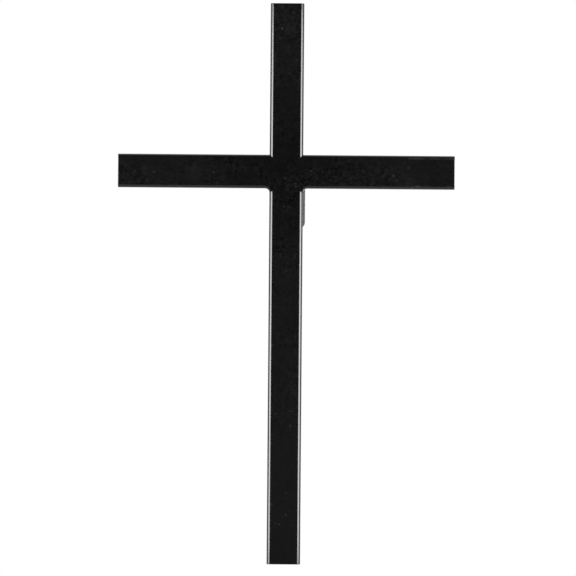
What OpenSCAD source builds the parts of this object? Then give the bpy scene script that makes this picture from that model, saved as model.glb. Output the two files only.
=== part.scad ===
// Black metal cross for a grave, hung upright on a headstone by a plate welded to its back.
// Three lengths of rounded rectangular bar: one upright, and two arms welded to its sides.
// Millimetres. X runs across the cross, Z up it, and Y through it, from the face (-Y) to the back (+Y).
// The origin is in the back of the fixing plate, on the centre line, halfway between its two holes.

/* [Bars] */
// Height of the cross, along the upright
upright_h = 500; // [400:5:700]
// Span of the cross, from the end of one arm to the end of the other
span = 300; // [200:5:450]
// Width of the bar as seen from the front, the same for the upright and the arms
bar_w = 30; // [20:1:45]
// Depth of the bar from front to back
bar_d = 15; // [10:0.5:25]
// Radius along the four long edges of the bar
edge_r = 3; // [1:0.25:4.5]
// Distance from the top of the upright down to the middle of the arms
arms_drop = 150; // [90:5:220]

/* [Welds] */
// Leg of the weld in the corner under each arm
weld_leg = 3; // [1.5:0.25:5]
// Thickness that the weld still has at its two toes
weld_toe = 0.3; // [0.2:0.05:0.6]

/* [Fixing plate] */
// How far the plate stands out past the upright's right side
lip_right = 2; // [0.5:0.5:6]
// How far the plate stops short of the upright's left side
inset_left = 2; // [0:0.5:4]
// Height of the plate
plate_h = 60; // [50:1:100]
// Thickness of the plate
plate_t = 5; // [3:0.5:10]
// Radius of the plate's corners
plate_corner_r = 5; // [2:0.5:7]
// Distance from the middle of the arms down to the middle of the plate
plate_drop = 20; // [0:1:60]
// Distance from each end of the plate to the middle of its tapped hole
hole_edge = 10; // [6:0.5:15]
// Core diameter of the tapped holes
hole_d = 5; // [3:0.25:8]

/* [Hidden] */
$fn = 96;
slack = 1; // how far a cutting tool runs past the face that it cuts

bar_y = -plate_t - bar_d / 2; // middle of the bars' depth
arms_z = plate_drop; // height of the middle of the arms
top_z = arms_z + arms_drop;
foot_z = top_z - upright_h;
arm_l = (span - bar_w) / 2; // length of one arm, from the side of the upright
plate_w = bar_w + lip_right - inset_left;
plate_x = (lip_right + inset_left) / 2; // middle of the plate's width, to the right of the centre line
hole_spacing = plate_h - 2 * hole_edge;
weld_d = bar_d - 2 * edge_r; // the weld fills the flat of the bar's side, between its rounded edges

// Outline of a rectangle w by d about the origin, with corners of radius r.
module rounded_outline(w, d, r) {
    square([w - 2 * r, d], center = true);
    square([w, d - 2 * r], center = true);
    for (x = [-1, 1], y = [-1, 1])
        translate([x * (w / 2 - r), y * (d / 2 - r)])
            circle(r = r);
}

// Bar of length l along +Z from the origin, its width along X.
module bar(l) {
    linear_extrude(height = l)
        rounded_outline(bar_w, bar_d, edge_r);
}

// Bar of length l along +X from the origin, its width along Z.
module level_bar(l) {
    rotate([0, 90, 0])
        bar(l);
}

// Hollow weld in the corner between +X and -Z, along Y about the origin.
module corner_weld() {
    rotate([90, 0, 0])
        linear_extrude(height = weld_d, center = true)
            difference() {
                translate([0, -weld_leg])
                    square(weld_leg);
                translate([weld_leg, -weld_leg])
                    circle(r = weld_leg - weld_toe);
            }
}

// One arm, on the +X side: the bar from the upright's side out to the arm's end, and its weld.
module arm() {
    translate([bar_w / 2, bar_y, arms_z]) {
        level_bar(arm_l);
        translate([0, 0, -bar_w / 2])
            corner_weld();
    }
}

// The upright, with its edges filled out level where the arms are welded on.
module upright() {
    color("#141414") {
        translate([0, bar_y, foot_z])
            bar(upright_h);
        translate([-bar_w / 2, bar_y, arms_z])
            level_bar(bar_w);
    }
}

module left_arm() {
    color("#141414")
        mirror([1, 0, 0])
            arm();
}

module right_arm() {
    color("#141414")
        arm();
}

// Flat plate with its back in the plane y = 0, and a hole through it at each end.
module fixing_plate() {
    color("#8c8c8c")
        difference() {
            translate([plate_x, 0, 0])
                rotate([90, 0, 0])
                    linear_extrude(height = plate_t)
                        rounded_outline(plate_w, plate_h, plate_corner_r);
            for (end = [-1, 1])
                translate([0, slack, end * hole_spacing / 2])
                    rotate([90, 0, 0])
                        cylinder(h = plate_t + 2 * slack, d = hole_d);
        }
}

upright();
left_arm();
right_arm();
fixing_plate();
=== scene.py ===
import math
import bpy
import bmesh
import numpy as np
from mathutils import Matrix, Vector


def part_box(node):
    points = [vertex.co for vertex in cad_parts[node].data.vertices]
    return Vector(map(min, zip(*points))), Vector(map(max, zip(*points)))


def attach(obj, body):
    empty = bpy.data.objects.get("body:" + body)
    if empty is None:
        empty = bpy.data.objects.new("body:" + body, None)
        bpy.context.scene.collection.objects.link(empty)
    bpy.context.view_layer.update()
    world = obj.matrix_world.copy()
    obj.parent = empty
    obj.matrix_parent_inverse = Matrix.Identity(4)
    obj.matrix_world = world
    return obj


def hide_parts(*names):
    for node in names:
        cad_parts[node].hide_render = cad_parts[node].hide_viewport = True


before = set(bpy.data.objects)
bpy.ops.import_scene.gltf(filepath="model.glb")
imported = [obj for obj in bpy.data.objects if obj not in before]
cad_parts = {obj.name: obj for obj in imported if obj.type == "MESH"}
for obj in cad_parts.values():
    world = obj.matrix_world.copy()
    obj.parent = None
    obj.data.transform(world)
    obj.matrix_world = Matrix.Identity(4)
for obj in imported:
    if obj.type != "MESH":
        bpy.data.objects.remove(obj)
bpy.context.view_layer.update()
print("frame loaded:", sorted(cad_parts))

mm = 0.001

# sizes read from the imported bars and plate
uprightLow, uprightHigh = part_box("upright")
armLow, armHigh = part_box("right_arm")
plateLow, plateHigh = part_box("fixing_plate")
frontY, backY = uprightLow.y, uprightHigh.y  # the cross faces -Y
barHalf = (uprightHigh.x - uprightLow.x) / 2
crossingZ = armHigh.z - barHalf  # height of the middle of the arms
weldLeg = (armHigh.z - armLow.z) - 2 * barHalf


# meshes
mergeReach = 0.002 * mm  # points closer than this are one point


def newMesh(name, verts, faces, edgeTurn=None):
    mesh = bpy.data.meshes.new(name)
    mesh.from_pydata(verts.tolist(), [], faces.tolist())
    mesh.validate()
    if edgeTurn is not None:
        turns = mesh.attributes.new("edgeTurn", "FLOAT", "POINT")
        turns.data.foreach_set("value", edgeTurn.astype(np.float32))
    work = bmesh.new()
    work.from_mesh(mesh)
    bmesh.ops.remove_doubles(work, verts=work.verts, dist=mergeReach)
    bmesh.ops.dissolve_degenerate(work, edges=work.edges, dist=mergeReach / 2)
    bmesh.ops.recalc_face_normals(work, faces=work.faces)
    openEdges = sum(1 for edge in work.edges if not edge.is_manifold)
    work.to_mesh(mesh)
    work.free()
    mesh.polygons.foreach_set("use_smooth", [True] * len(mesh.polygons))
    mesh.update()
    piece = bpy.data.objects.new(name, mesh)
    bpy.context.scene.collection.objects.link(piece)
    print(f"{name}: {len(mesh.vertices)} vertices, {len(mesh.polygons)} faces, {openEdges} open edges")
    return piece


def gridFaces(rows, columns, start=0):
    # quads of a rows x columns grid: (i, j), (i, j + 1), (i + 1, j + 1), (i + 1, j)
    i, j = np.meshgrid(np.arange(rows - 1), np.arange(columns - 1), indexing="ij")
    a = (start + i * columns + j).ravel()
    return np.stack([a, a + 1, a + columns + 1, a + columns], axis=1)


def joinGrids(grids):
    # stacks several (rows, columns, 3) grids into one list of points and one of quads
    points, faces, start = [], [], 0
    for grid in grids:
        rows, columns = grid.shape[:2]
        points.append(grid.reshape(-1, 3))
        faces.append(gridFaces(rows, columns, start))
        start += rows * columns
    return np.concatenate(points), np.concatenate(faces)


def weightNormals(piece):
    # large faces keep their own normals, and the narrow ones between them shade round
    weighted = piece.modifiers.new("faceWeight", "WEIGHTED_NORMAL")
    weighted.weight = 100
    weighted.keep_sharp = False


# the welded cross
crossSet = {
    "edgeRadius": 3.4 * mm,  # along the long edges of the bars, with the coat on
    "arris": 0.35 * mm,  # softening that the coat gives to the cut ends
    "upperCorner": 0.6 * mm,  # radius in the two corners above the arms
    "lowerCorner": weldLeg + 0.9 * mm,  # radius of the weld in the corners below the arms
    # power by which a corner's radius shrinks over the rounded edge, towards the face and back; 0 keeps it
    "upperBlend": 0.8, "lowerBlend": 0.0,
    # how much of the edge's own radius it gains on the way
    "upperSpread": 0.0, "lowerSpread": 1.25,
    "weldRipple": 0.22 * mm,  # how far the weld's surface rises and falls
    "weldPitch": 2.7 * mm,  # distance between its ripples
    "weldBeat": 1.3, "weldPhase": 0.6,  # slower wave that makes them uneven
    "cornerRoom": 3.0 * mm,  # from the end of the weld to where a limb runs straight
    "crowding": 1.6,  # power that draws the steps closer together near the corner
    "flatSteps": 5, "edgeSteps": 14, "sideSteps": 14, "cornerSteps": 26, "lengthSteps": 14, "arrisSteps": 4,
}


def halfOutline(s):
    # Half of the bar's outline, from the middle of its face round to the middle of its back.
    # Each point is centre + radius * (sin t, -cos t): t is 0 on the face, 90 on the side, 180 on the back.
    r, flat = s["edgeRadius"], barHalf - s["edgeRadius"]
    n, e, d = s["flatSteps"], s["edgeSteps"], s["sideSteps"]
    across = np.concatenate([
        np.linspace(0, flat, n + 1), np.full(2 * e + d - 1, flat), np.linspace(flat, 0, n + 1)])
    front, back = frontY + r, backY - r
    depth = np.concatenate([
        np.full(n + 1 + e - 1, front), np.linspace(front, back, d + 1), np.full(e - 1 + n + 1, back)])
    turn = np.radians(np.concatenate([
        np.zeros(n + 1), np.linspace(0, 90, e + 1)[1:-1], np.full(d + 1, 90.0),
        np.linspace(90, 180, e + 1)[1:-1], np.full(n + 1, 180.0)]))
    return across, depth, turn


def cornerStretch(s, w, y, cornerRadius, blend, spread, reach):
    # Each line of the outline, w from the limb's middle, starts on the 45 degree mitre and follows an arc:
    # across = (w + c) - sqrt(c^2 - (w + c - along)^2). Its radius c is the corner's own on the side of the
    # bar; towards the face a clean corner's shrinks to a sharp mitre and a weld's grows. The lines on a flat
    # face are the face's edge line, drawn in by their share of its width.
    r, flat = s["edgeRadius"], barHalf - s["edgeRadius"]
    wide = np.maximum(w, flat)[:, None]
    share = np.minimum(w / flat, 1.0)[:, None]
    c = cornerRadius(y)[:, None] * ((wide - flat) / r) ** blend + spread * (barHalf - wide)
    mitre = wide + c - c / math.sqrt(2)
    v = np.linspace(0, 1, s["cornerSteps"] + 1)[None, :] ** s["crowding"]
    lineAlong = mitre + (reach - mitre) * v
    bow = np.maximum(wide + c - lineAlong, 0)
    arcAcross = (wide + c) - np.sqrt(np.maximum(c ** 2 - bow ** 2, 0))
    return share * arcAcross, share * mitre + (reach - share * mitre) * v


def straightStretch(s, across, depth, turn, reach, length):
    # The outline carried straight on, then over the arris a at the cut end, where p runs from 0 to 90:
    # along = length - a + a * sin p, and the outline's radius is drawn in by a * (1 - cos p).
    a = s["arris"]
    straight = np.linspace(reach, length - a, s["lengthSteps"] + 1)[1:]
    p = np.linspace(0, math.pi / 2, s["arrisSteps"] + 1)[1:]
    along = np.concatenate([straight, length - a + a * np.sin(p)])
    inset = np.concatenate([np.zeros(len(straight)), a * (1 - np.cos(p))])
    radius = (s["edgeRadius"] - inset)[None, :]
    sideways = across[:, None] + radius * np.sin(turn)[:, None]
    deep = depth[:, None] - radius * np.cos(turn)[:, None]
    return sideways, deep, np.broadcast_to(along, sideways.shape)


def cutEnd(s, rim):
    # straight lines, front + (back - front) * m, from each point of the rim's front half to its twin behind
    front = rim[: s["flatSteps"] + s["edgeSteps"] + 1]
    twin = rim[::-1][: len(front)]
    m = np.linspace(0, 1, s["sideSteps"] + 1)[None, :, None]
    return front[:, None, :] * (1 - m) + twin[:, None, :] * m


def halfLimb(s, length, cornerRadius, blend, spread, reach):
    # One half of one limb as a grid (outline, way along) of points (sideways, deep, along), and half of its
    # end. Beside each grid stands how far round the outline its points lie, in half turns.
    across, depth, turn = halfOutline(s)
    w = across + s["edgeRadius"] * np.sin(turn)
    y = depth - s["edgeRadius"] * np.cos(turn)
    nearAcross, nearAlong = cornerStretch(s, w, y, cornerRadius, blend, spread, reach)
    farAcross, farY, farAlong = straightStretch(s, across, depth, turn, reach, length)
    sideways = np.concatenate([nearAcross, farAcross], axis=1)
    deep = np.concatenate([np.repeat(y[:, None], nearAcross.shape[1], axis=1), farY], axis=1)
    along = np.concatenate([nearAlong, farAlong], axis=1)
    skin = np.stack([sideways, deep, along], axis=2)
    end = cutEnd(s, skin[:, -1])
    turned = np.repeat(turn[:, None] / math.pi, skin.shape[1], axis=1)
    endTurned = np.repeat(turned[: len(end), -1:], end.shape[1], axis=1)
    return [(skin, turned), (end, endTurned)]


def weldedCross(s):
    # eight half limbs about the crossing:
    # point = crossing + sideways * way across + along * way along + deep * way back
    middle, half = (frontY + backY) / 2, (backY - frontY) / 2

    def cleanCorner(y):
        return np.full_like(y, s["upperCorner"])

    def weldCorner(y):
        # c = radius + ripple * sin(turns) * cos(slow turns), fading to the plain radius at the face and back
        fade = np.clip((half - np.abs(y - middle)) / s["edgeRadius"], 0, 1)
        slow = s["weldBeat"] * math.pi * y / s["weldPitch"] + s["weldPhase"]
        wave = np.sin(2 * math.pi * y / s["weldPitch"]) * np.cos(slow)
        return s["lowerCorner"] + s["weldRipple"] * fade * wave

    reach = barHalf + s["lowerCorner"] + s["weldRipple"] + s["cornerRoom"]
    topArm, footArm, sideArm = uprightHigh.z - crossingZ, crossingZ - uprightLow.z, armHigh.x
    clean = (cleanCorner, s["upperBlend"], s["upperSpread"])
    welded = (weldCorner, s["lowerBlend"], s["lowerSpread"])
    right, back, up = np.array([1.0, 0, 0]), np.array([0, 1.0, 0]), np.array([0, 0, 1.0])
    halves = [  # way along, way across, length, what its corner is like
        (up, right, topArm, clean), (up, -right, topArm, clean),
        (-up, right, footArm, welded), (-up, -right, footArm, welded),
        (right, up, sideArm, clean), (right, -up, sideArm, welded),
        (-right, up, sideArm, clean), (-right, -up, sideArm, welded),
    ]
    toCrossing = np.array([0, 0, crossingZ])
    grids, turns = [], []
    for wayAlong, wayAcross, length, corner in halves:
        for grid, turned in halfLimb(s, length, *corner, reach):
            placed = grid[..., 0:1] * wayAcross + grid[..., 2:3] * wayAlong + grid[..., 1:2] * back
            grids.append(placed + toCrossing)
            turns.append(turned.ravel())
    cross = newMesh("weldedCross", *joinGrids(grids), edgeTurn=np.concatenate(turns))
    weightNormals(cross)
    return cross


# the fixing plate
plateSet = {
    "cornerRadius": 5.0 * mm,
    "arris": 0.4 * mm,  # sheared edge, lightly filed
    "coreRadius": 2.5 * mm,
    "threadDepth": 0.45 * mm,
    "threadPitch": 1.0 * mm,
    "mouth": 0.5 * mm,  # chamfer at each end of a hole
    "holeEdge": 10.0 * mm,  # from the plate's end to the middle of the hole
    "aroundSteps": 8, "faceSteps": 6, "wallSteps": 5, "arrisSteps": 3, "threadSteps": 56,
    "beadRadius": 2.3 * mm,  # weld between the plate's end and the bars
    "beadStop": 4.5 * mm,  # how far short of the upright's right side it stops
    "beadBlunt": 6,  # even power that keeps it full almost up to its round ends
    "beadPitch": 1.7 * mm, "beadRipple": 0.12,  # its ripples, as a share of its radius
    "beadLean": 0.35,  # how far a ripple leans as it goes round, in radians
    "beadSteps": 90, "beadRound": 28,
}


def plateOutline(s, top):
    # Half of the plate's outline, from the middle of the right side, up and over, to the middle of the left,
    # and the way out at each point: straight runs and corners, centre + radius * (cos q, sin q).
    r, n = s["cornerRadius"], s["aroundSteps"]
    left, right = plateLow.x, plateHigh.x
    q = np.linspace(0, math.pi / 2, n + 1)
    rightUp = np.stack([np.full(n + 1, right), np.linspace(0, top - r, n + 1)], axis=1)
    cornerR = np.stack([right - r + r * np.cos(q), top - r + r * np.sin(q)], axis=1)
    across = np.stack([np.linspace(right - r, left + r, 2 * n + 1), np.full(2 * n + 1, top)], axis=1)
    cornerL = np.stack([left + r - r * np.sin(q), top - r + r * np.cos(q)], axis=1)
    leftDown = np.stack([np.full(n + 1, left), np.linspace(top - r, 0, n + 1)], axis=1)
    wall = np.concatenate([rightUp[:-1], cornerR[:-1], across[:-1], cornerL[:-1], leftDown])
    outward = np.concatenate([
        np.tile([1.0, 0.0], (n, 1)), np.stack([np.cos(q), np.sin(q)], axis=1)[:-1],
        np.tile([0.0, 1.0], (2 * n, 1)), np.stack([-np.sin(q), np.cos(q)], axis=1)[:-1],
        np.tile([-1.0, 0.0], (n + 1, 1))])
    return wall, outward


def edgeProfile(s):
    # An arris, the flat edge, an arris: how far out from the inner line, and Y. The first arris is
    # (a * sin p, front + a * (1 - cos p)), and the second mirrors it.
    a, first, last = s["arris"], plateLow.y, plateHigh.y
    p = np.linspace(0, math.pi / 2, s["arrisSteps"] + 1)
    out = np.concatenate([a * np.sin(p), np.full(s["wallSteps"] - 1, a), a * np.cos(p)])
    deep = np.concatenate([
        first + a * (1 - np.cos(p)), np.linspace(first + a, last - a, s["wallSteps"] + 1)[1:-1],
        last - a * (1 - np.sin(p))])
    return out, deep


def threadedBore(s, turnCount):
    # Chamfer, then a thread: radius = core + depth * tooth(y / pitch - turnCount), faded out at both ends,
    # with tooth(x) = (1 + cos(2 pi x)) / 2.
    first, last, mouth = plateLow.y, plateHigh.y, s["mouth"]
    y = np.concatenate([[first], np.linspace(first + mouth, last - mouth, s["threadSteps"] + 1), [last]])
    phase = y[None, :] / s["threadPitch"] - turnCount[:, None]
    tooth = 0.5 + 0.5 * np.cos(2 * math.pi * phase)
    fade = np.clip(np.minimum(y - first, last - y) / mouth - 1, 0, 1)[None, :]
    radius = s["coreRadius"] + s["threadDepth"] * tooth * fade
    radius[:, [0, -1]] = s["coreRadius"] + mouth
    return radius, y


def halfPlate(s, sign):
    # Half of the plate about its hole, upper for sign 1 and lower for -1: rings that grow from the hole's
    # mouth to the half's outline, point = mouth + (outline - mouth) * k, and the edge's profile carried
    # round the outline.
    a, n = s["arris"], s["aroundSteps"]
    middle, top = (plateLow.z + plateHigh.z) / 2, (plateHigh.z - plateLow.z) / 2
    wall, outward = plateOutline(s, top)
    inner = wall - a * outward
    middleLine = np.stack([
        np.linspace(plateLow.x + a, plateHigh.x - a, 2 * n + 1), np.zeros(2 * n + 1)], axis=1)
    ring = np.concatenate([inner, middleLine[1:]])
    holeAt = np.array([0.0, top - s["holeEdge"]])
    toRing = ring - holeAt
    heading = toRing / np.hypot(toRing[:, 0], toRing[:, 1])[:, None]
    mouthRing = holeAt + (s["coreRadius"] + s["mouth"]) * heading
    k = np.linspace(0, 1, s["faceSteps"] + 1)[None, :, None]
    flat = mouthRing[:, None, :] * (1 - k) + ring[:, None, :] * k
    out, edgeY = edgeProfile(s)
    edge = inner[:, None, :] + outward[:, None, :] * out[None, :, None]
    turnCount = np.arctan2(heading[:, 1], heading[:, 0]) / (2 * math.pi) * sign
    radius, boreY = threadedBore(s, turnCount)
    bore = holeAt + heading[:, None, :] * radius[:, :, None]

    def placed(points, y):
        return np.stack([points[..., 0], y + 0 * points[..., 0], middle + sign * points[..., 1]], axis=-1)

    return [placed(flat, plateLow.y), placed(flat, plateHigh.y), placed(edge, edgeY), placed(bore, boreY)]


def weldBead(s, z):
    # A rounded bead along X, its middle line in the corner between the plate's end and the bars:
    # radius = R * sqrt(1 - (2t - 1)^blunt) * (1 - ripple * |sin(pi x / pitch + lean * cos a)|), where t runs
    # from 0 to 1 along it and a goes round it.
    first, last = plateLow.x + s["cornerRadius"], barHalf - s["beadStop"]
    t, a = np.meshgrid(
        np.linspace(0, 1, s["beadSteps"] + 1), np.linspace(0, 2 * math.pi, s["beadRound"] + 1), indexing="ij")
    x = first + (last - first) * t
    wave = 1 - s["beadRipple"] * np.abs(np.sin(math.pi * x / s["beadPitch"] + s["beadLean"] * np.cos(a)))
    radius = s["beadRadius"] * np.sqrt(np.maximum(1 - (2 * t - 1) ** s["beadBlunt"], 0)) * wave
    return np.stack([x, plateLow.y + radius * np.sin(a), z + radius * np.cos(a)], axis=2)


def fixingPlate(s):
    beads = [weldBead(s, plateLow.z), weldBead(s, plateHigh.z)]
    plate = newMesh("fixingPlate", *joinGrids(halfPlate(s, 1) + halfPlate(s, -1) + beads))
    weightNormals(plate)
    return plate


# shader nodes
def blankTree(owner):
    owner.use_nodes = True
    owner.node_tree.nodes.clear()
    return owner.node_tree


def feed(tree, node, values):
    # each value is a plain one, or the socket that it comes from
    for key, value in values.items():
        if isinstance(value, bpy.types.NodeSocket):
            tree.links.new(value, node.inputs[key])
        else:
            node.inputs[key].default_value = value


def addNode(tree, kind, values=None, **settings):
    node = tree.nodes.new(kind)
    for key, value in settings.items():
        setattr(node, key, value)
    feed(tree, node, values or {})
    return node


def addMath(tree, operation, *values):
    return addNode(tree, "ShaderNodeMath", dict(enumerate(values)), operation=operation).outputs["Value"]


def addNoise(tree, here, scale, detail=2.0, roughness=0.5):
    values = {"Vector": here, "Scale": scale, "Detail": detail, "Roughness": roughness}
    return addNode(tree, "ShaderNodeTexNoise", values).outputs["Fac"]


def addRamp(tree, value, span, onto=(0.0, 1.0), curve="SMOOTHSTEP"):
    # the value carried from one span onto another and held at its ends
    ends = {"From Min": span[0], "From Max": span[1], "To Min": onto[0], "To Max": onto[1]}
    node = addNode(tree, "ShaderNodeMapRange", {"Value": value, **ends}, interpolation_type=curve)
    return node.outputs["Result"]


def addMapping(tree, here, **values):
    return addNode(tree, "ShaderNodeMapping", {"Vector": here, **values}).outputs["Vector"]


def addGroup(tree, group, here, values):
    return addNode(tree, "ShaderNodeGroup", {"Vector": here, **values}, node_tree=group).outputs[0]


def mixColours(tree, factor, first, second, clampFactor=True):
    values = {"Factor": factor, "A": first, "B": second}
    node = addNode(tree, "ShaderNodeMix", values, data_type="RGBA", clamp_factor=clampFactor)
    return node.outputs["Result"]


def objectPlace(tree):
    return addNode(tree, "ShaderNodeTexCoord").outputs["Object"]


# shader groups
def newGroup(name, inputs, output):
    # the group, and the sockets that its inputs come in by
    group = bpy.data.node_groups.new(name, "ShaderNodeTree")
    for label, kind, value in inputs:
        socket = group.interface.new_socket(label, in_out="INPUT", socket_type=kind)
        if value is not None:
            socket.default_value = value
    group.interface.new_socket(output, in_out="OUTPUT", socket_type="NodeSocketFloat")
    return group, addNode(group, "NodeGroupInput").outputs


mottleSet = {
    "coarseDetail": 3.0, "coarseRoughness": 0.55,
    "span": (0.3, 0.7),  # of the mixed noise, spread to -1 to 1
}


def makeMottle(s):
    # soft cloudy patches: two noises, one coarse and one fine, mixed and spread to -1 to 1
    group, given = newGroup("cloudyMottle", [
        ("Vector", "NodeSocketVector", None), ("Coarse", "NodeSocketFloat", 40.0),
        ("Fine", "NodeSocketFloat", 260.0), ("Fine Share", "NodeSocketFloat", 0.4)], "Value")
    coarse = addNoise(group, given["Vector"], given["Coarse"], s["coarseDetail"], s["coarseRoughness"])
    fine = addNoise(group, given["Vector"], given["Fine"])
    mix = addNode(group, "ShaderNodeMix", {"Factor": given["Fine Share"], "A": coarse, "B": fine})
    spread = addRamp(group, mix.outputs["Result"], s["span"], (-1.0, 1.0), "LINEAR")
    addNode(group, "NodeGroupOutput", {"Value": spread})
    return group


dustSet = {
    "wobbleScale": 900.0, "wobble": 2.2 * mm,  # makes a fleck's outline ragged
    "sizePower": 4.0,  # most flecks are far smaller than the largest
    "faintPower": 2.0,  # and most are faint
    "patchScale": 30.0, "patchFade": 0.15,  # the patches where dust has settled, and how softly they end
}


def makeDust(s):
    # flecks: one speck to a cell, lit where the distance to its middle is under the cell's own size, and
    # mostly faint; a slow noise says where dust has settled
    group, given = newGroup("dustFlecks", [
        ("Vector", "NodeSocketVector", None), ("Scale", "NodeSocketFloat", 400.0),
        ("Size", "NodeSocketFloat", 0.3), ("Settled", "NodeSocketFloat", 0.5)], "Mask")
    here = given["Vector"]
    wobble = addNode(group, "ShaderNodeTexNoise", {"Vector": here, "Scale": s["wobbleScale"], "Detail": 2.0})
    bent = addNode(group, "ShaderNodeVectorMath", {
        0: wobble.outputs["Color"], 1: (s["wobble"],) * 3, 2: here}, operation="MULTIPLY_ADD")
    cells = addNode(group, "ShaderNodeTexVoronoi", {
        "Vector": bent.outputs["Vector"], "Scale": given["Scale"], "Randomness": 1.0})
    chance = addNode(group, "ShaderNodeSeparateColor", {"Color": cells.outputs["Color"]}).outputs
    size = addMath(group, "MULTIPLY", addMath(group, "POWER", chance["Red"], s["sizePower"]), given["Size"])
    fleck = addRamp(group, cells.outputs["Distance"], (0.0, size), (1.0, 0.0))
    lit = addMath(group, "MULTIPLY", fleck, addMath(group, "POWER", chance["Green"], s["faintPower"]))
    full = addMath(group, "ADD", given["Settled"], s["patchFade"])
    settled = addRamp(group, addNoise(group, here, s["patchScale"]), (given["Settled"], full))
    addNode(group, "NodeGroupOutput", {"Mask": addMath(group, "MULTIPLY", lit, settled)})
    return group


smudgeSet = {
    "raggedScale": 110.0, "ragged": 12 * mm,  # makes a smudge's outline uneven
    "core": 4 * mm,  # full this far from its middle
    "fade": 8 * mm,  # how far past its reach it is gone
    "strokeScale": 330.0, "strokeStretch": (0.3, 1.0, 1.0),  # short strokes along X
    "strokeSpan": (0.35, 0.65), "strokeLeast": 0.35,
}


def makeSmudge(s):
    # a finger's smudge: 1 in the core, falling smoothly to 0 at Reach + fade, where the distance is that to
    # Centre + ragged * noise, times short strokes
    group, given = newGroup("softSmudge", [
        ("Vector", "NodeSocketVector", None), ("Centre", "NodeSocketVector", (0, 0, 0)),
        ("Reach", "NodeSocketFloat", 0.012)], "Mask")
    here = given["Vector"]
    away = addNode(group, "ShaderNodeVectorMath", {0: here, 1: given["Centre"]}, operation="DISTANCE")
    uneven = addNoise(group, here, s["raggedScale"], detail=3.0)
    distance = addMath(group, "MULTIPLY_ADD", uneven, s["ragged"], away.outputs["Value"])
    far = addMath(group, "ADD", given["Reach"], s["fade"])
    patch = addRamp(group, distance, (s["core"], far), (1.0, 0.0))
    drawn = addNoise(group, addMapping(group, here, Scale=s["strokeStretch"]), s["strokeScale"])
    strokes = addRamp(group, drawn, s["strokeSpan"], (s["strokeLeast"], 1.0), "LINEAR")
    addNode(group, "NodeGroupOutput", {"Mask": addMath(group, "MULTIPLY", patch, strokes)})
    return group


mottle = makeMottle(mottleSet)
dust = makeDust(dustSet)
smudge = makeSmudge(smudgeSet)
print("shader groups built")


# materials
def newMaterial(name):
    material = bpy.data.materials.new(name)
    tree = blankTree(material)
    shader = addNode(tree, "ShaderNodeBsdfPrincipled")
    addNode(tree, "ShaderNodeOutputMaterial", {"Surface": shader.outputs["BSDF"]})
    return material, tree, shader


# gloss black coat
coatSet = {
    "black": (0.0026, 0.0026, 0.0027, 1.0),
    "milky": (0.0126, 0.0126, 0.0126, 1.0),  # the coat under a full film of dust and handling
    "film": 0.50,  # share of that film all over
    # how much of it each of these adds, or takes away where it was wiped
    "cloud": 0.12, "mottle": 0.62, "wiped": 0.26, "smudge": 0.62, "edgeDust": 3.2,
    "clouds": {"Coarse": 30.0, "Fine": 110.0, "Fine Share": 0.4},
    "specks": {"Coarse": 240.0, "Fine": 470.0, "Fine Share": 0.5},
    "flecks": {"Scale": 300.0, "Size": 0.56, "Settled": 0.42},
    "wipedReach": 110 * mm,  # the film is thin near the crossing, full this far out
    "mottleSpan": (160 * mm, 260 * mm),  # distance from the crossing over which the fine mottle dies out
    "mottleLeft": 0.12,  # what is left of it beyond
    "patchScale": 34.0, "patchSpan": (0.42, 0.62), "patchLeast": 0.3,  # patches with more and less mottle
    "handled": [  # middle of each smudge as shares of the arms' span and height, and its reach
        (0.23, 0.50, 9 * mm), (0.86, 0.30, 10 * mm), (0.08, 0.55, 6 * mm)],
    "topSmudge": (0.52, 0.955, 9 * mm),  # the same as shares of the upright's width and height
    "dustRise": (0.0, 0.04), "dustDrop": (0.07, 0.16),  # where a long edge holds dust, in half turns round it
    "streakScale": 60.0, "streakSpan": (0.48, 0.64),
    "streakShift": (31 * mm, 0.0, 0.0),  # slides the streaks along the arm
    "streakReach": (0.5, 0.8),  # shares of the right arm's reach over which they come in
    "dustGrey": (0.15, 0.15, 0.147, 1.0),
    "roughness": (0.06, 0.17),  # of the bare coat, and under the thickest film
    "thickest": 1.2,  # the film at which the roughness stops growing
    "dustRoughness": 0.6,
    "waveScale": 45.0, "waveHeight": 0.05 * mm,
    "peelScale": 420.0, "peelHeight": 0.005 * mm,  # orange peel
    "fleckHeight": 0.03 * mm,
    "ior": 1.55,
}


def smudgePlaces(s):
    # (middle, reach) of each smudge on the front face
    def middle(half, low, high, across, upward):
        return (2 * across - 1) * half, frontY, low + upward * (high - low)

    places = [(middle(armHigh.x, armLow.z, armHigh.z, x, z), reach) for x, z, reach in s["handled"]]
    x, z, reach = s["topSmudge"]
    places.append((middle(barHalf, uprightLow.z, uprightHigh.z, x, z), reach))
    return places


def edgeStreaks(tree, here, s):
    # dust held along the long edges: a band of the outline's turn, in short streaks, on the right arm's end
    turn = addNode(tree, "ShaderNodeAttribute", attribute_name="edgeTurn").outputs["Fac"]
    rise = addRamp(tree, turn, s["dustRise"])
    drop = addRamp(tree, turn, s["dustDrop"], (1.0, 0.0))
    slid = addMapping(tree, here, Location=s["streakShift"])
    streak = addRamp(tree, addNoise(tree, slid, s["streakScale"], detail=3.0), s["streakSpan"])
    x = addNode(tree, "ShaderNodeSeparateXYZ", {"Vector": here}).outputs["X"]
    out = addRamp(tree, x, [share * armHigh.x for share in s["streakReach"]])
    held = addMath(tree, "MULTIPLY", addMath(tree, "MULTIPLY", rise, drop), streak)
    return addMath(tree, "MULTIPLY", held, out)


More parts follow.
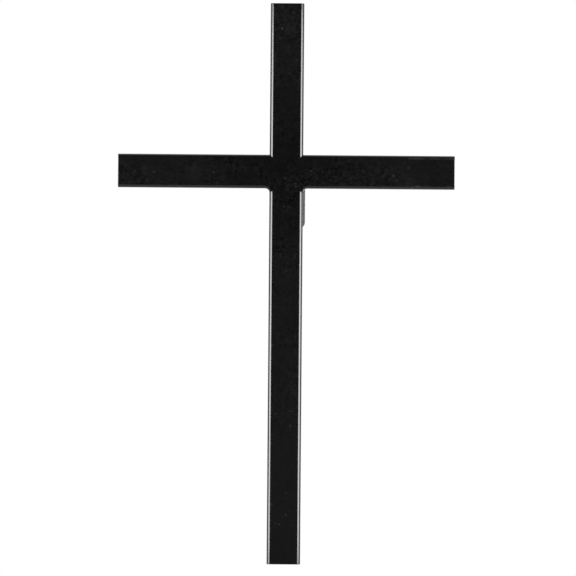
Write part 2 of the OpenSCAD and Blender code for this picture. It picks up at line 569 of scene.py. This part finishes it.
def coatFilm(tree, here, s):
    # the film: its plain share, less near the crossing, up and down in clouds and specks, more in smudges
    # and in the dust along the edges, each times its own weight, and never under 0
    away = addNode(tree, "ShaderNodeVectorMath", {0: here, 1: (0.0, frontY, crossingZ)}, operation="DISTANCE")
    fromCrossing = away.outputs["Value"]
    near = addRamp(tree, fromCrossing, s["mottleSpan"], (1.0, s["mottleLeft"]))
    patchy = addRamp(tree, addNoise(tree, here, s["patchScale"]), s["patchSpan"], (s["patchLeast"], 1.0))
    amount = addMath(tree, "MULTIPLY", patchy, near)
    terms = [
        (addGroup(tree, mottle, here, s["clouds"]), s["cloud"]),
        (addMath(tree, "MULTIPLY", amount, addGroup(tree, mottle, here, s["specks"])), s["mottle"]),
        (addRamp(tree, fromCrossing, (0.0, s["wipedReach"]), (1.0, 0.0)), -s["wiped"]),
        (edgeStreaks(tree, here, s), s["edgeDust"])]
    for middle, reach in smudgePlaces(s):
        terms.append((addGroup(tree, smudge, here, {"Centre": middle, "Reach": reach}), s["smudge"]))
    film = s["film"]
    for value, weight in terms:
        film = addMath(tree, "MULTIPLY_ADD", value, weight, film)
    return addMath(tree, "MAXIMUM", film, 0.0)


def coatRelief(tree, here, flecks, s):
    # slow waves under a fine orange peel, and the flecks stand a little proud: each bump lies on the last
    layers = [
        (addNoise(tree, here, s["waveScale"], detail=1.0), s["waveHeight"]),
        (addNoise(tree, here, s["peelScale"]), s["peelHeight"]),
        (flecks, s["fleckHeight"])]
    under = {}
    for height, distance in layers:
        bump = addNode(tree, "ShaderNodeBump", {
            "Strength": 1.0, "Distance": distance, "Height": height, **under})
        under = {"Normal": bump.outputs["Normal"]}
    return under["Normal"]


def glossBlack(s):
    material, tree, shader = newMaterial("glossBlack")
    here = objectPlace(tree)
    film = coatFilm(tree, here, s)
    flecks = addGroup(tree, dust, here, s["flecks"])
    coat = mixColours(tree, film, s["black"], s["milky"], clampFactor=False)
    haze = addRamp(tree, film, (0.0, s["thickest"]), s["roughness"], "LINEAR")
    matt = addNode(tree, "ShaderNodeMix", {"Factor": flecks, "A": haze, "B": s["dustRoughness"]})
    feed(tree, shader, {
        "Base Color": mixColours(tree, flecks, coat, s["dustGrey"]),
        "Roughness": matt.outputs["Result"],
        "IOR": s["ior"],
        "Normal": coatRelief(tree, here, flecks, s)})
    return material


# dull grey steel of the plate
steelSet = {
    "bright": (0.30, 0.30, 0.30, 1.0),
    "dark": (0.17, 0.17, 0.172, 1.0),
    "dustGrey": (0.16, 0.155, 0.15, 1.0),
    "metal": 0.45,  # dulled by its zinc coat
    "clouds": {"Coarse": 90.0, "Fine": 600.0, "Fine Share": 0.5},
    "flecks": {"Scale": 420.0, "Size": 0.5, "Settled": 0.45},
    "grain": 900.0, "grainStretch": (1.0, 1.0, 0.06),  # brushed along the plate's length
    "grainDetail": 4.0, "grainRoughness": 0.65,
    "grainSpan": (0.3, 0.7), "roughness": (0.42, 0.60),
    "grainStrength": 0.6, "grainHeight": 0.02 * mm,
}


def plateSteel(s):
    # two greys in cloudy patches under a few flecks of dust, and a noise stretched along Z for the brushing
    material, tree, shader = newMaterial("plateSteel")
    here = objectPlace(tree)
    tone = addRamp(tree, addGroup(tree, mottle, here, s["clouds"]), (-1.0, 1.0), curve="LINEAR")
    steel = mixColours(tree, tone, s["dark"], s["bright"])
    flecks = addGroup(tree, dust, here, s["flecks"])
    drawn = addMapping(tree, here, Scale=s["grainStretch"])
    grain = addNoise(tree, drawn, s["grain"], s["grainDetail"], s["grainRoughness"])
    bump = addNode(tree, "ShaderNodeBump", {
        "Strength": s["grainStrength"], "Distance": s["grainHeight"], "Height": grain})
    feed(tree, shader, {
        "Base Color": mixColours(tree, flecks, steel, s["dustGrey"]),
        "Metallic": s["metal"],
        "Roughness": addRamp(tree, grain, s["grainSpan"], s["roughness"], "LINEAR"),
        "Normal": bump.outputs["Normal"]})
    return material


# pieces
cross = weldedCross(crossSet)
cross.data.materials.append(glossBlack(coatSet))
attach(cross, "root")
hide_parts("upright", "left_arm", "right_arm")

plate = fixingPlate(plateSet)
plate.data.materials.append(plateSteel(steelSet))
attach(plate, "root")
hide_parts("fixing_plate")
print("pieces made")

# floor, world and lamps
studioSet = {
    "white": (1.0, 1.0, 1.0, 1.0),
    "floorDrop": 0.28,  # below the foot of the cross
    "floorRadius": 0.9,
    "floorCore": 0.02,  # radius of its innermost ring
    "floorRings": 24, "floorTurns": 96,
    "floorColour": (0.92, 0.92, 0.92, 1.0),
    "floorLift": 0.55,  # share of plain white in what the camera sees of the floor
    "floorFade": (0.25, 0.78),  # distances from the origin between which that share grows to 1
    "boxDistance": 6.0,
    "boxAzimuth": 51.0,  # degrees each side of straight in front
    "boxWidth": 5.0,
    "boxHeight": 1.42,
    "boxRadiance": 12.5,  # how bright its surface is
    # how light the studio is, from straight in front of the cross at 0 to straight behind it at 1
    "tones": [(0.0, 0.03), (0.18, 0.03), (0.5, 0.30), (0.75, 1.0)],
    "whiteSpan": (0.45, 0.62),  # where reflections pass from that to the white background
}


def paleFloor(s):
    # plain paper that turns to white away from the middle, for the camera only
    material = bpy.data.materials.new("paleFloor")
    tree = blankTree(material)
    paper = addNode(tree, "ShaderNodeBsdfDiffuse", {"Color": s["floorColour"]}).outputs["BSDF"]
    white = addNode(tree, "ShaderNodeEmission", {"Color": s["white"], "Strength": 1.0}).outputs["Emission"]
    away = addNode(tree, "ShaderNodeVectorMath", {0: objectPlace(tree)}, operation="LENGTH").outputs["Value"]
    lift = addRamp(tree, away, s["floorFade"], (s["floorLift"], 1.0))
    seen = addMath(tree, "MULTIPLY", lift, addNode(tree, "ShaderNodeLightPath").outputs["Is Camera Ray"])
    mix = addNode(tree, "ShaderNodeMixShader", {"Fac": seen, 1: paper, 2: white})
    addNode(tree, "ShaderNodeOutputMaterial", {"Surface": mix.outputs["Shader"]})
    return material


def makeFloor(s):
    # flat disc: x = r cos t, y = r sin t
    rings = np.linspace(s["floorCore"], s["floorRadius"], s["floorRings"])
    r, t = np.meshgrid(
        np.append(0.0, rings), np.linspace(0, 2 * math.pi, s["floorTurns"] + 1), indexing="ij")
    z = uprightLow.z - s["floorDrop"]
    grid = np.stack([r * np.cos(t), r * np.sin(t), np.full_like(r, z)], axis=2)
    floor = newMesh("studioFloor", *joinGrids([grid]))
    floor.data.materials.append(paleFloor(s))


def makeWorld(s):
    # white to the camera, and in every reflection of what lies behind the cross; to the rest a tone that
    # rises from front to side to back
    world = bpy.data.worlds.new("studioWorld")
    bpy.context.scene.world = world
    tree = blankTree(world)
    facing = addNode(tree, "ShaderNodeTexCoord").outputs["Generated"]
    y = addNode(tree, "ShaderNodeSeparateXYZ", {"Vector": facing}).outputs["Y"]
    half = addMath(tree, "MULTIPLY_ADD", y, 0.5, 0.5)
    ramp = addNode(tree, "ShaderNodeValToRGB", {"Fac": half})
    ramp.color_ramp.interpolation = "EASE"
    stops = ramp.color_ramp.elements
    for number, (at, tone) in enumerate(s["tones"]):
        stop = stops[number] if number < 2 else stops.new(at)  # the ramp comes with two stops
        stop.position = at
        stop.color = (tone, tone, tone, 1)
    studio = addNode(tree, "ShaderNodeBackground", {"Color": ramp.outputs["Color"], "Strength": 1.0})
    backdrop = addNode(tree, "ShaderNodeBackground", {"Color": s["white"], "Strength": 1.0})
    path = addNode(tree, "ShaderNodeLightPath").outputs
    gloss = addMath(tree, "MAXIMUM", path["Is Glossy Ray"], path["Is Transmission Ray"])
    glossBehind = addMath(tree, "MULTIPLY", gloss, addRamp(tree, half, s["whiteSpan"]))
    white = addMath(tree, "MAXIMUM", path["Is Camera Ray"], glossBehind)
    mix = addNode(tree, "ShaderNodeMixShader", {
        "Fac": white, 1: studio.outputs["Background"], 2: backdrop.outputs["Background"]})
    addNode(tree, "ShaderNodeOutputWorld", {"Surface": mix.outputs["Shader"]})


def makeLamps(s, aim):
    for name, side in (("leftBox", -1), ("rightBox", 1)):
        data = bpy.data.lights.new(name, "AREA")
        data.shape = "RECTANGLE"
        data.size, data.size_y = s["boxWidth"], s["boxHeight"]
        data.energy = s["boxRadiance"] * math.pi * data.size * data.size_y
        lamp = bpy.data.objects.new(name, data)
        angle = math.radians(s["boxAzimuth"]) * side
        lamp.location = (
            aim[0] + s["boxDistance"] * math.sin(angle), aim[1] - s["boxDistance"] * math.cos(angle), aim[2])
        lamp.rotation_euler = (math.pi / 2, 0, angle)
        bpy.context.scene.collection.objects.link(lamp)


# camera
cameraSet = {
    "distance": 3.5,  # from the face of the bars
    "framed": 1.0261,  # width of the view as a share of the cross's height
    "across": 2.3 * mm,  # aim, right of the centre line
    "belowArms": 103.7 * mm,  # aim, below the middle of the arms
    "roll": 0.45,  # degrees
    "sensor": 36.0,
}


def makeCamera(s):
    data = bpy.data.cameras.new("mainCamera")
    camera = bpy.data.objects.new("mainCamera", data)
    bpy.context.scene.collection.objects.link(camera)
    width = s["framed"] * (uprightHigh.z - uprightLow.z)
    data.sensor_width = s["sensor"]
    data.lens = s["sensor"] * s["distance"] / width
    camera.location = (s["across"], frontY - s["distance"], crossingZ - s["belowArms"])
    camera.rotation_euler = (math.pi / 2, -math.radians(s["roll"]), 0)
    bpy.context.scene.camera = camera
    return camera.location


aim = makeCamera(cameraSet)
makeFloor(studioSet)
makeWorld(studioSet)
makeLamps(studioSet, (0.0, frontY, aim[2]))
bpy.context.scene.view_settings.view_transform = "Standard"
print("studio set up")
